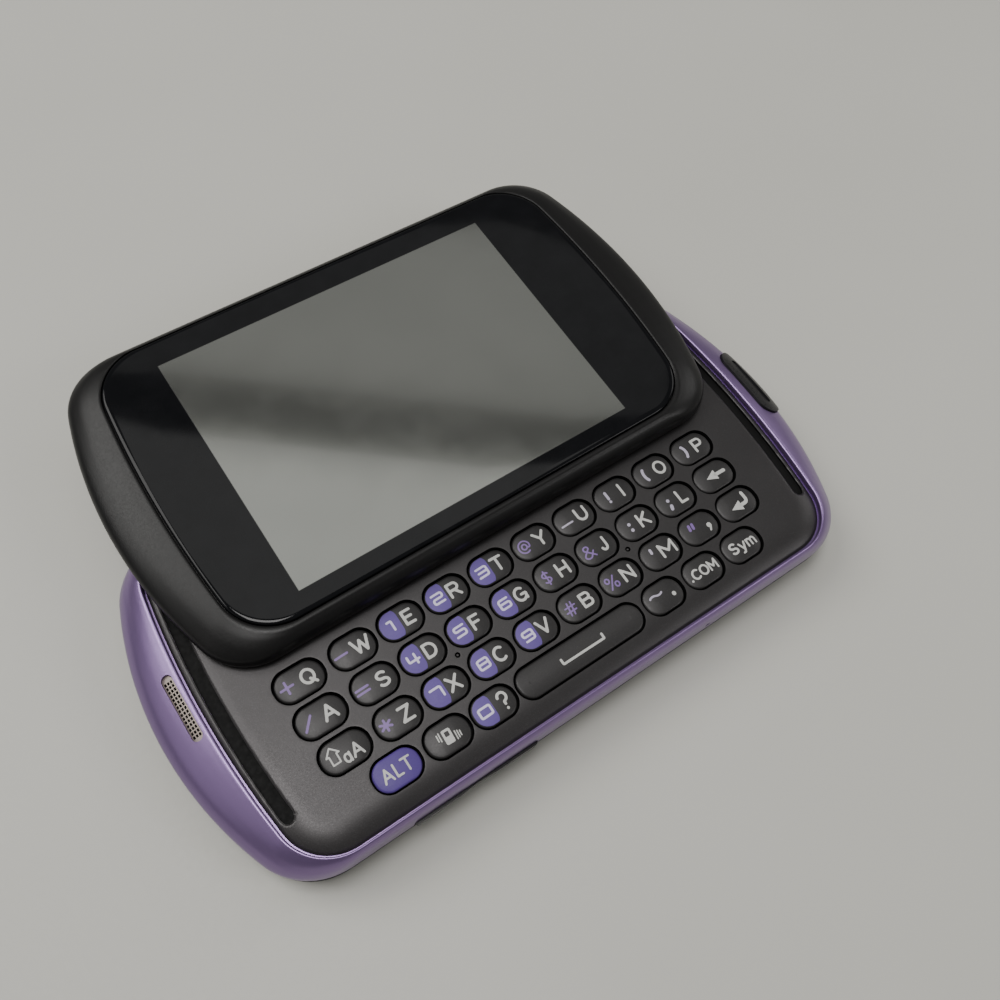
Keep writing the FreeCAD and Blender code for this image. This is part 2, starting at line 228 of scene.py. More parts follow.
M["steel"] = steel("stamped_steel", 0.55, 0.22, 0.38)
M["plate"] = steel("slide_plate_dark_coat", 0.045, 0.34, 0.5)
M["grille"] = satin("grille_champagne_paint", (0.30, 0.255, 0.225), (0.38, 0.325, 0.29), 0.35, 0.45, metallic=0.4, grain=4000.0, bump=3e-6)


def board():
    m = Nodes("solder_mask_green")
    v = m.voronoi(700.0, "DISTANCE_TO_EDGE")
    n = m.noise(900.0, 3.0)
    m.color(m.ramp(v, [(0.02, (0.035, 0.14, 0.06)), (0.12, (0.015, 0.08, 0.035))]))
    m.rough(m.maprange(n, 0.3, 0.7, 0.25, 0.4))
    m.normal(m.bump(v, 1.5e-5, 0.5))
    return m.m


def flex():
    m = Nodes("flex_film_amber")
    w = m.t.nodes.new("ShaderNodeTexWave")
    w.inputs["Scale"].default_value = 400.0
    m.link(m.co, w.inputs["Vector"])
    m.color(m.ramp(w.outputs["Fac"], [(0.3, (0.38, 0.15, 0.03)), (0.6, (0.50, 0.24, 0.06))]))
    m.rough(m.maprange(m.noise(800.0), 0.3, 0.7, 0.25, 0.35))
    m.normal(m.bump(w.outputs["Fac"], 1e-5, 0.5))
    return m.m


M["board"] = board()
M["flex"] = flex()
SX0, SX1, SY0, SY1 = -29.83 * MM, 27.77 * MM, 6.70 * MM, 49.08 * MM


def window():
    """Black gloss window. The display under it is a slightly lighter, greyer rectangle with a fine dark border."""
    m = Nodes("window_black_gloss")
    x, y, z = m.xyz()[0], m.xyz()[1], m.xyz()[2]
    e = 0.00006
    fx = m.math("MULTIPLY", m.maprange(x, SX0 - e, SX0 + e, 0, 1), m.maprange(x, SX1 - e, SX1 + e, 1, 0))
    fy = m.math("MULTIPLY", m.maprange(y, SY0 - e, SY0 + e, 0, 1), m.maprange(y, SY1 - e, SY1 + e, 1, 0))
    ins = m.math("MULTIPLY", m.math("MULTIPLY", fx, fy), m.maprange(z, 0.0146, 0.0148, 0, 1))
    fine = m.noise(300.0, 3.0)
    blk = m.ramp(fine, [(0.3, (0.0035, 0.0037, 0.0045)), (0.7, (0.0055, 0.0057, 0.0068))])
    dis = m.ramp(m.noise(45.0, 2.0), [(0.3, (0.150, 0.154, 0.144)), (0.7, (0.168, 0.172, 0.161))])
    m.color(m.mix(ins, blk, dis))
    m.link(m.math("MULTIPLY", ins, 0.9), m.b.inputs["Metallic"])
    sm = m.maprange(m.noise(120.0, 4.0), 0.4, 0.75, 0.0, 0.035)
    m.rough(m.math("ADD", m.math("ADD", sm, 0.045), m.math("MULTIPLY", ins, 0.055)))
    m.link(m.math("MULTIPLY", ins, 0.4), m.b.inputs["Coat Weight"])
    m.b.inputs["Coat Roughness"].default_value = 0.04
    m.b.inputs["Specular IOR Level"].default_value = 0.17
    m.normal(m.bump(m.noise(60.0, 2.0), 2e-6, 0.3))
    return m.m


M["window"] = window()


def lens_glass():
    m = Nodes("camera_window_dark")
    n = m.noise(500.0)
    m.color(m.ramp(n, [(0.3, (0.006, 0.006, 0.009)), (0.7, (0.010, 0.010, 0.015))]))
    m.rough(m.maprange(n, 0.3, 0.7, 0.03, 0.07))
    m.b.inputs["Coat Weight"].default_value = 1.0
    m.normal(m.bump(n, 1e-6, 0.2))
    return m.m


M["lens"] = lens_glass()

# The dome sheet gets the near-black painted-shade material, which paints shade into the gaps round the keys.
ASSIGN = {"rear_housing": "shell", "battery_cover": "shell", "rim_frame": "rim", "speaker_grille": "grille", "port_cover": "cover",
          "volume_rocker": "cover", "keyboard_deck": "deck", "dome_sheet": "painted_gap_shade", "main_board": "board", "shield_can": "steel",
          "battery": "battery", "loudspeaker": "inner", "camera_module": "inner", "camera_window": "lens", "usb_socket": "steel",
          "housing_screws": "steel", "slide_shoe": "steel", "slider_housing": "housing", "touch_window": "window",
          "display_panel": "inner", "slide_plate": "plate", "earpiece": "inner", "flex_cable": "flex"}
for n, o in N.items():
    mat = M[ASSIGN.get(n, "key")]
    o.data.materials.clear()
    o.data.materials.append(mat)


# ------------------------------------------------------------------ mesh helpers
def obj_from(name, verts, faces, mat, body, smooth=True, rep=()):
    me = bpy.data.meshes.new(name)
    me.from_pydata([tuple(v) for v in verts], [], [tuple(f) for f in faces])
    me.validate()
    me.update()
    if smooth:
        for p in me.polygons:
            p.use_smooth = True
    o = bpy.data.objects.new(name, me)
    bpy.context.scene.collection.objects.link(o)
    if isinstance(mat, (list, tuple)):
        for k in mat:
            me.materials.append(k)
    else:
        me.materials.append(mat)
    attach(o, body)
    if rep:
        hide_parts(*rep)
    return o


# ------------------------------------------------------------------ shells
YO, LY = 28.1, 28.5


def ring(a, b, R, r, z, y0=0.0, na=56, nc=22, nl=40):
    """Points of a closed outline: straight long sides, bowed ends, round corners (mm)."""
    cx = a - R
    fx = cx + math.sqrt((R - r) ** 2 - (b - r) ** 2)
    t = math.atan2(b - r, fx - cx)
    q = [(cx + R * math.cos(u), R * math.sin(u)) for u in np.linspace(-t, t, na + 1)[:-1]]
    c = [(fx + r * math.cos(u), b - r + r * math.sin(u)) for u in np.linspace(t, math.pi / 2, nc + 1)[:-1]]
    l = [(u, b) for u in np.linspace(fx, -fx, nl + 1)[:-1]]
    c2 = [(-fx + r * math.cos(u), b - r + r * math.sin(u)) for u in np.linspace(math.pi / 2, math.pi - t, nc + 1)[:-1]]
    half = c + l + c2
    pts = q + half + [(-x, -y) for x, y in q] + [(-x, -y) for x, y in half]
    return [(x, y + y0, z) for x, y in pts]


def spline(rows, n):
    """Smooth interpolation of section parameters (Catmull-Rom on the row index)."""
    P = np.array(rows, float)
    P = np.vstack([2 * P[0] - P[1], P, 2 * P[-1] - P[-2]])
    out = []
    for i in range(1, len(P) - 2):
        for k in range(n):
            t = k / n
            out.append(0.5 * (2 * P[i] + (P[i + 1] - P[i - 1]) * t + (2 * P[i - 1] - 5 * P[i] + 4 * P[i + 1] - P[i + 2]) * t * t
                              + (3 * P[i] - P[i - 1] - 3 * P[i + 1] + P[i + 2]) * t ** 3))
    out.append(P[-2])
    return out


def tube_of(rings, closed_loop=True, caps=False):
    """Faces between successive rings. closed_loop joins the last ring to the first, caps fills both ends."""
    n = len(rings[0])
    verts = [tuple(c * MM for c in p) for r_ in rings for p in r_]
    faces = []
    m = len(rings)
    for k in range(m if closed_loop else m - 1):
        a, b = k * n, ((k + 1) % m) * n
        for i in range(n):
            j = (i + 1) % n
            faces.append((a + i, a + j, b + j, b + i))
    if caps:
        faces.append(tuple(reversed(range(n))))
        faces.append(tuple((m - 1) * n + i for i in range(n)))
    return verts, faces


def sharpen(o, deg):
    for p_ in o.data.polygons:
        p_.use_smooth = True
    o.data.set_sharp_from_angle(angle=math.radians(deg))


def carve(o, cutters):
    """Subtracts closed cutter meshes for good."""
    for verts, faces in cutters:
        me = bpy.data.meshes.new("cutter")
        me.from_pydata(verts, [], faces)
        me.update()
        c = bpy.data.objects.new("cutter", me)
        bpy.context.scene.collection.objects.link(c)
        md = o.modifiers.new("cut", "BOOLEAN")
        md.operation = "DIFFERENCE"
        md.solver = "EXACT"
        md.object = c
        bpy.context.view_layer.update()
        dg = bpy.context.evaluated_depsgraph_get()
        done = bpy.data.meshes.new_from_object(o.evaluated_get(dg))
        o.modifiers.clear()
        o.data = done
        bpy.data.objects.remove(c)


def prism(points, z0, z1, mat4=None):
    n = len(points)
    vs = [Vector((x * MM, y * MM, z * MM)) for z in (z0, z1) for x, y in points]
    if mat4 is not None:
        vs = [mat4 @ v for v in vs]
    fs = [(i, (i + 1) % n, n + (i + 1) % n, n + i) for i in range(n)] + [tuple(reversed(range(n))), tuple(range(n, 2 * n))]
    return [tuple(v) for v in vs], fs


def oblong(cx, cy, w, d, r, n=10):
    return [(cx + x, cy + y) for x, y in obround(w, d, r, n)]


def obround(w, d, r, n=10):
    pts = []
    for qx, qy, a0 in ((1, -1, -90), (1, 1, 0), (-1, 1, 90), (-1, -1, 180)):
        cx, cy = qx * (w / 2 - r), qy * (d / 2 - r)
        for i in range(n + 1):
            a = math.radians(a0 + 90.0 * i / n)
            pts.append((cx + r * math.cos(a), cy + r * math.sin(a)))
    return pts


# coloured rim
RIM = [(4.4, 54.85, 27.12, 57, 10.2), (5.6, 55.2, 27.2, 57, 10.2), (6.8, 55.1, 27.2, 57.5, 10.1),
       (8.0, 54.1, 27.15, 62, 9.8), (9.0, 52.5, 27.02, 74, 9.3), (9.75, 50.9, 26.8, 95, 8.8), (10.25, 49.6, 26.5, 122, 8.4)]
outer = spline(RIM, 7)
rows = [ring(a, b, R, r, z) for z, a, b, R, r in outer]
for a, b, z in ((49.42, 26.40, 10.31), (49.25, 26.32, 10.335), (49.10, 26.25, 10.32), (48.97, 26.18, 10.27), (48.89, 26.14, 10.18), (48.85, 26.12, 10.05), (48.85, 26.12, 9.5), (48.85, 26.12, 8.95)):
    f = (49.6 - a) / 0.75
    rows.append(ring(a, b, 122 + 18 * f, 8.4 - 0.55 * f, z))
rows += [ring(47.0, 24.9, 130, 6.9, 8.95), ring(47.0, 24.9, 130, 6.9, 8.2), ring(51.4, 25.6, 60, 8.6, 8.2), ring(51.4, 25.6, 60, 8.6, 4.4)]
v_, f_ = tube_of(rows)
rim = obj_from("rim_shell", v_, f_, M["rim"], "base", True, ("rim_frame",))
TILT = math.radians(53.0)
PORT = Matrix.Translation(Vector((53.2, 2.15, 8.45)) * MM) @ Matrix.Rotation(-TILT, 4, "Y") @ Matrix.Rotation(math.pi / 2, 4, "Y")
SLOT = (-50.45, 2.2, 1.6, 10.4)
cuts = [prism(oblong(SLOT[0], SLOT[1], SLOT[2], SLOT[3], 0.795, 8), 7.6, 12.0),
        prism(obround(5.4, 13.9, 2.65, 14), -1.5, 6.0, PORT),
        prism([(44.0, -2.0), (51.0, -2.0), (51.0, 6.3), (44.0, 6.3)], 6.2, 8.93),
        prism([(50.0, -1.75), (53.0, -1.75), (53.0, 6.05), (50.0, 6.05)], 6.95, 8.55),
        prism([(-32.15, -29.0), (-11.65, -29.0), (-11.65, -25.0), (-32.15, -25.0)], 4.83, 6.97)]
DOT = Matrix.Translation(Vector((19.8, -27.0, 7.2)) * MM) @ Matrix.Rotation(math.pi / 2, 4, "X")
cuts.append(prism([(0.42 * math.cos(t), 0.42 * math.sin(t)) for t in np.linspace(0, 2 * math.pi, 25)[:-1]], -2.2, 2.2, DOT))
carve(rim, cuts)
sharpen(rim, 38)


def rim_height(x, y):
    """Height of the rim's outer surface over a point of its sloping end (mm)."""
    xs = [a - R + math.sqrt(R * R - y * y) for z, a, b, R, r in outer]
    zs = [z for z, a, b, R, r in outer]
    k = [i for i in range(len(xs)) if zs[i] > 5.7]
    return float(np.interp(-abs(x), [-xs[i] for i in k], [zs[i] for i in k]))


# slider housing and window
SL = [(10.70, 46.7, 26.7, 76, 8.0), (11.15, 47.5, 27.1, 74, 8.4), (11.9, 47.7, 27.2, 74, 8.5),
      (12.9, 47.1, 27.12, 78, 8.5), (13.8, 45.2, 26.8, 95, 8.5), (14.45, 43.0, 26.2, 130, 8.5), (14.82, 41.25, 25.6, 165, 8.4)]
rows = [ring(a, b, R, r, z, YO) for z, a, b, R, r in spline(SL, 7)]
for a, b, z in ((41.05, 25.5, 14.855), (40.88, 25.4, 14.86), (40.74, 25.3, 14.82), (40.64, 25.23, 14.72), (40.60, 25.2, 14.5), (40.60, 25.2, 13.82)):
    rows.append(ring(a, b, 172, 8.3, z, YO + (LY - YO) * min(1.0, (41.25 - a) / 0.6)))
rows += [ring(39.4, 24.0, 178, 7.2, 13.82, LY), ring(39.4, 24.0, 178, 7.2, 12.42, LY), ring(39.4, 24.6, 178, 5.4, 12.40, YO),
         ring(39.4, 24.6, 178, 5.4, 11.42, YO), ring(45.0, 25.6, 110, 7.2, 11.42, YO), ring(45.0, 25.6, 110, 7.2, 10.70, YO)]
v_, f_ = tube_of(rows)
hou = obj_from("slider_shell", v_, f_, M["housing"], "slider", True, ("slider_housing",))
sharpen(hou, 38)
rows = [ring(40.45, 25.05, 178, 8.2, z, LY) for z in (13.92, 14.35, 14.66)]
for d, z in ((0.02, 14.76), (0.07, 14.84), (0.15, 14.905), (0.27, 14.95), (0.42, 14.98), (0.62, 14.995), (0.9, 15.0)):
    rows.append(ring(40.45 - d, 25.05 - d, 178, 8.2 - d, z, LY))
for d in (6.0,):
    rows.append(ring(40.45 - d, 25.05 - d, 178, 4.0, 15.0, LY))
v_, f_ = tube_of(rows, False, True)
win = obj_from("window_glass", v_, f_, M["window"], "slider", True, ("touch_window",))
sharpen(win, 30)


# ------------------------------------------------------------------ skins cut to a signed distance field
def contour(bounds_, fn, step):
    """Marching squares on fn < 0. Returns points, polygons and outline edges."""
    x0, x1, y0, y1 = bounds_
    nx, ny = int((x1 - x0) / step) + 2, int((y1 - y0) / step) + 2
    xs, ys = x0 + np.arange(nx) * step, y0 + np.arange(ny) * step
    X, Y = np.meshgrid(xs, ys, indexing="ij")
    D = fn(X, Y)
    D = np.where(np.abs(D) < 1e-6, 1e-6, D)
    ins = D < 0
    full = ins[:-1, :-1] & ins[1:, :-1] & ins[1:, 1:] & ins[:-1, 1:]
    some = (ins[:-1, :-1] | ins[1:, :-1] | ins[1:, 1:] | ins[:-1, 1:]) & ~full
    vid, tv, polys, rim_e = {}, [], [], []

    def node(i, j):
        k = (i, j)
        if k not in vid:
            vid[k] = len(tv)
            tv.append((X[i, j], Y[i, j]))
        return vid[k]

    def cross(i, j, a, b):
        k = (i, j, a, b) if (i, j) < (a, b) else (a, b, i, j)
        if k not in vid:
            i, j, a, b = k
            t = min(max(D[i, j] / (D[i, j] - D[a, b]), 0.06), 0.94)
            vid[k] = len(tv)
            tv.append((X[i, j] + (X[a, b] - X[i, j]) * t, Y[i, j] + (Y[a, b] - Y[i, j]) * t))
        return vid[k]
    for i, j in zip(*np.nonzero(full)):
        polys.append([node(i, j), node(i + 1, j), node(i + 1, j + 1), node(i, j + 1)])
    for i, j in zip(*np.nonzero(some)):
        c = [(i, j), (i + 1, j), (i + 1, j + 1), (i, j + 1)]
        s_ = [bool(ins[q]) for q in c]
        if s_[0] == s_[2] and s_[1] == s_[3]:
            for k in range(4):
                if s_[k]:
                    q, a, b = c[k], c[(k + 1) % 4], c[(k - 1) % 4]
                    polys.append([node(*q), cross(*q, *a), cross(*b, *q)])
            continue
        poly = []
        for k in range(4):
            q, w_ = c[k], c[(k + 1) % 4]
            if s_[k]:
                poly.append(node(*q))
            if s_[k] != s_[(k + 1) % 4]:
                poly.append(cross(*q, *w_))
        polys.append(poly)
    seen = {}
    for q in polys:
        for a, b in zip(q, q[1:] + q[:1]):
            seen[(a, b)] = True
    rim_e = [(a, b) for (a, b) in seen if (b, a) not in seen]
    return tv, polys, rim_e


def plate_skin(name, bounds_, fn, step, top, bottom, mat, body, rep=(), deg=35, wall=None):
    """A closed plate: its top follows top(x, y), its sides drop to bottom, and its underside is flat."""
    import bmesh
    tv, polys, rim_e = contour(bounds_, fn, step)
    P = np.array(tv)
    Z = top(P[:, 0], P[:, 1])
    verts = [(x * MM, y * MM, z * MM) for (x, y), z in zip(tv, Z)]
    low = {}
    faces = [list(q) for q in polys]
    for a, b in rim_e:
        for k in (a, b):
            if k not in low:
                low[k] = len(verts)
                verts.append((tv[k][0] * MM, tv[k][1] * MM, bottom * MM))
        faces.append([b, a, low[a], low[b]])
    o = obj_from(name, verts, faces, [mat, wall] if wall else mat, body, True, rep)
    if wall:
        for q in o.data.polygons[len(polys):]:
            q.material_index = 1
    bm = bmesh.new()
    bm.from_mesh(o.data)
    bm.verts.ensure_lookup_table()
    lows = set(low.values())
    es = [e for e in bm.edges if e.is_boundary and e.verts[0].index in lows and e.verts[1].index in lows]
    bmesh.ops.triangle_fill(bm, edges=es, use_beauty=False, use_dissolve=False, normal=Vector((0, 0, -1)))
    bm.to_mesh(o.data)
    bm.free()
    sharpen(o, deg)
    # shading of the top follows its height function exactly
    e = 0.03
    nx = -(top(P[:, 0] + e, P[:, 1]) - top(P[:, 0] - e, P[:, 1])) / (2 * e)
    ny = -(top(P[:, 0], P[:, 1] + e) - top(P[:, 0], P[:, 1] - e)) / (2 * e)
    big = np.hypot(nx, ny) > 3.0
    nx, ny = np.where(big, 0, nx), np.where(big, 0, ny)
    ln = np.sqrt(nx * nx + ny * ny + 1)
    loops = [tuple(c.vector) for c in o.data.corner_normals]
    for i, q in enumerate(o.data.polygons[:len(polys)]):
        for li, vi in zip(q.loop_indices, q.vertices):
            loops[li] = (nx[vi] / ln[vi], ny[vi] / ln[vi], 1 / ln[vi])
    o.data.normals_split_custom_set(loops)
    return o


def outline_d(X, Y, a, b, R, r):
    """Signed distance to a bowed outline."""
    X, Y = np.abs(X), np.abs(Y)
    cx = a - R
    fx = cx + math.sqrt((R - r) ** 2 - (b - r) ** 2)
    fy = b - r
    d = np.maximum(np.hypot(X - cx, Y) - R, Y - b)
    corner = (X > fx) & ((fx - cx) * Y - fy * (X - cx) > 0)
    return np.where(corner, np.hypot(X - fx, Y - fy) - r, d)


def rbox_d(X, Y, w, d, r):
    qx, qy = np.abs(X) - (w / 2 - r), np.abs(Y) - (d / 2 - r)
    return np.hypot(np.maximum(qx, 0), np.maximum(qy, 0)) + np.minimum(np.maximum(qx, qy), 0) - r


# ------------------------------------------------------------------ keys
PITCH_X, PITCH_Y, ROW1_Y = 7.77, 5.796, -3.06
KEY_W, KEY_D, KEY_R, SPACE_W, Z_KEY = 6.76, 4.70, 2.16, 21.95, 10.42
ROWS = [["q", "w", "e", "r", "t", "y", "u", "i", "o", "p"],
        ["a", "s", "d", "f", "g", "h", "j", "k", "l", "backspace"],
        ["shift", "z", "x", "c", "v", "b", "n", "m", "comma", "enter"]]
KEYS = {}
for ri, row in enumerate(ROWS):
    for ci, k in enumerate(row):
        x, w = (ci - 4.5) * PITCH_X + (0.15 if ri == 2 else 0.0), KEY_W
        if ci == 0:
            x, w = (-35.635, 7.32) if ri < 2 else (-35.30, 7.26)
        if ci == 9:
            x, w = 35.25, 7.08
        KEYS["key_" + k] = (x, ROW1_Y - ri * PITCH_Y, w)
for k, x, w in (("alt", -30.77, 7.08), ("vibrate", -22.70, 6.88), ("zero", -15.10, 6.88), ("tilde", 15.54, 6.76), ("dotcom", 23.34, 6.76), ("symbol", 31.20, 6.86)):
    KEYS["key_" + k] = (x, ROW1_Y - 3 * PITCH_Y, w)
KEYS["key_space"] = (0.06, ROW1_Y - 3 * PITCH_Y, SPACE_W)


def crown(dx, dy, wide):
    """Height of a key's crown, in mm, at an offset from its centre."""
    if wide:
        return Z_KEY - 9.5 + math.sqrt(9.5 ** 2 - dy * dy) - 0.0016 * max(0.0, abs(dx) - 6.0) ** 2
    return Z_KEY - 15.0 + math.sqrt(15.0 ** 2 - dx * dx - dy * dy)


EDGE = 0.30


def key_mesh(name, x, y, w):
    wide = w > 10
    rings = []
    # skirt
    base = obround(w - 0.1, KEY_D - 0.1, KEY_R - 0.05)
    top = []
    for i in range(8):
        d = 0.05 + EDGE * (1 - math.cos(math.radians(90 * i / 7)))
        drop = EDGE * (1 - math.sin(math.radians(90 * i / 7))) * 0.8
        top.append((d, drop))
    for d in (0.7, 1.0, 1.35, 1.7, 2.0):
        top.append((d, 0.0))
    for z in (9.2, 9.6):
        rings.append([(px, py, z) for px, py in base])
    for d, drop in top:
        r = max(KEY_R - d, 0.08)
        ring = obround(w - 2 * d, KEY_D - 2 * d, min(r, (KEY_D - 2 * d) / 2 - 1e-4))
        rings.append([(px, py, crown(px, py, wide) - drop) for px, py in ring])
    n = len(rings[0])
    verts, faces = [], []
    for ring in rings:
        verts += [((x + px) * MM, (y + py) * MM, pz * MM) for px, py, pz in ring]
    for k in range(len(rings) - 1):
        for i in range(n):
            j = (i + 1) % n
            faces.append((k * n + i, k * n + j, (k + 1) * n + j, (k + 1) * n + i))
    # bottom cap, and the top closed by strips across the last ring
    c = len(verts)
    verts.append((x * MM, y * MM, 9.2 * MM))
    for i in range(n):
        faces.append(((i + 1) % n, i, c))
    L = (len(rings) - 1) * n
    q = n // 4
    # the last ring's two halves face each other across the key: join them in quads
    half = n // 2
    idx = [L + (i % n) for i in range(n)]
    a = [idx[(q + i) % n] for i in range(half)]        # top side, right to left
    b = [idx[(q - 1 - i) % n] for i in range(half)]    # bottom side, right to left
    for i in range(half - 1):
        faces.append((b[i], a[i], a[i + 1], b[i + 1]))
    # plunger
    s = len(verts)
    m = 20
    for zz in (9.2, 8.25):
        for i in range(m):
            t = 2 * math.pi * i / m
            verts.append(((x + 0.9 * math.cos(t)) * MM, (y + 0.9 * math.sin(t)) * MM, zz * MM))
    for i in range(m):
        faces.append((s + i, s + (i + 1) % m, s + m + (i + 1) % m, s + m + i))
    faces.append(tuple(s + m + i for i in range(m)))
    faces.append(tuple(s + m - 1 - i for i in range(m)))
    mat = M["key_purple"] if name == "key_alt" else M["key"]
    return obj_from(name + "_cap", verts, faces, mat, name, True, (name,))


for kn, (kx, ky, kw) in KEYS.items():
    key_mesh(kn, kx, ky, kw)


# ------------------------------------------------------------------ keyboard deck
def holes_d(X, Y):
    d = np.full(X.shape, 99.0)
    for x, y, w in KEYS.values():
        d = np.minimum(d, rbox_d(X - x, Y - y, w + 0.54, KEY_D + 0.54, KEY_R + 0.27))
    for x, y in ((-15.3, -11.6), (15.55, -11.6)):
        d = np.minimum(d, np.hypot(X - x, Y - y) - 0.42)
    return d


def groove_d(X, Y):
    A = np.abs(X)
    yy = Y + 1.0
    xo, xi = 47.60 - 150 + np.sqrt(150.0 ** 2 - yy ** 2), 45.75 - 150 + np.sqrt(150.0 ** 2 - yy ** 2)
    band = np.maximum(np.maximum(A - xo, xi - A), np.maximum(-17.9 - Y, Y - 21.0))
    return np.minimum(band, np.hypot(A - 45.72, Y + 17.9) - 0.825)


def deck_fn(X, Y):
    return np.maximum(np.maximum(outline_d(X, Y, 48.58, 25.86, 140, 7.6), -holes_d(X, Y)), -groove_d(X, Y))


def deck_top(X, Y):
    e = -outline_d(X, Y, 48.58, 25.86, 140, 7.6)
    t = np.clip(1 - e / 4.5, 0, 1)
    z = 10.30 - 0.92 * t ** 2.3 - 0.10 * np.clip(1 - e / 0.4, 0, 1) ** 2
    z = z - 0.008 * np.clip(1 - holes_d(X, Y) / 0.22, 0, 1) ** 2 - 0.18 * np.clip(1 - groove_d(X, Y) / 0.34, 0, 1) ** 2
    shoe = (np.abs(X) < 41.1) & (Y > 6.1) & (Y < 24.3)
    return np.where(shoe, 9.74, z)


# Deck walls round the key holes and grooves get the near-black material: painted shade in these recesses.
deck = plate_skin("deck_plate", (-48.9, 48.9, -26.1, 26.1), deck_fn, 0.21, deck_top, 9.02, M["deck"], "base", ("keyboard_deck",), 40, M["painted_gap_shade"])
# A near-black sheet laid low in each groove: painted shade on the groove floors.
plate_skin("deck_channel_floor_shade", (-48.9, 48.9, -20.6, 22.3), lambda X, Y: groove_d(X, Y) + 0.01, 0.3, lambda X, Y: 9.14 + 0 * X, 9.03, M["painted_gap_shade"], "base", (), 40)
for x, y in ((-15.3, -11.6), (15.55, -11.6)):
    pts = []
    for z, r in ((9.62, 0.20), (10.16, 0.20), (10.22, 0.165), (10.24, 0.10)):
        pts.append([(x + r * math.cos(t), y + r * math.sin(t), z) for t in np.linspace(0, 2 * math.pi, 21)[:-1]])
    v_, f_ = tube_of(pts, False, True)
    obj_from("deck_pin_%d" % (1 if x < 0 else 2), v_, f_, M["deck"], "base", True)


# ------------------------------------------------------------------ perforated sound strip
def grille_fn(X, Y):
    d = rbox_d(X - SLOT[0], Y - SLOT[1], SLOT[2] - 0.06, SLOT[3] - 0.06, 0.76)
    u = (X - SLOT[0]) / 0.44
    v = (Y - SLOT[1] + 0.1) / 0.60
    fu, fv = (u - np.round(u)) * 0.44, (v - np.round(v)) * 0.60
    hole = np.maximum(np.abs(fu) - 0.148, np.abs(fv) - 0.215)
    hole = np.where((np.abs(u) < 1.5) & (np.abs(v) < 7.5), hole, 1.0)
    return np.maximum(d, -hole)


plate_skin("sound_strip", (SLOT[0] - 0.9, SLOT[0] + 0.9, SLOT[1] - 5.4, SLOT[1] + 5.4), grille_fn, 0.055,
           lambda X, Y: np.array([rim_height(x, y) for x, y in zip(X, Y)]) - 0.55, 8.75, M["grille"], "base", ("speaker_grille",), 40)

# ------------------------------------------------------------------ legends
def arc(cx, cy, rx, ry, a0, a1, n=14):
    return [(cx + rx * math.cos(math.radians(a0 + (a1 - a0) * i / n)), cy + ry * math.sin(math.radians(a0 + (a1 - a0) * i / n))) for i in range(n + 1)]


def sq(path, r=0.16, n=5):
    """Polyline with rounded corners (unit box)."""
    out = [path[0]]
    for i in range(1, len(path) - 1):
        p0, p1, p2 = map(np.array, (path[i - 1], path[i], path[i + 1]))
        d0, d1 = p0 - p1, p2 - p1
        l0, l1 = np.linalg.norm(d0), np.linalg.norm(d1)
        rr = min(r, l0 * 0.5, l1 * 0.5)
        a, b = p1 + d0 / l0 * rr, p1 + d1 / l1 * rr
        for k in range(n + 1):
            t = k / n
            out.append(tuple((1 - t) ** 2 * a + 2 * t * (1 - t) * p1 + t * t * b))
    out.append(path[-1])
    return out


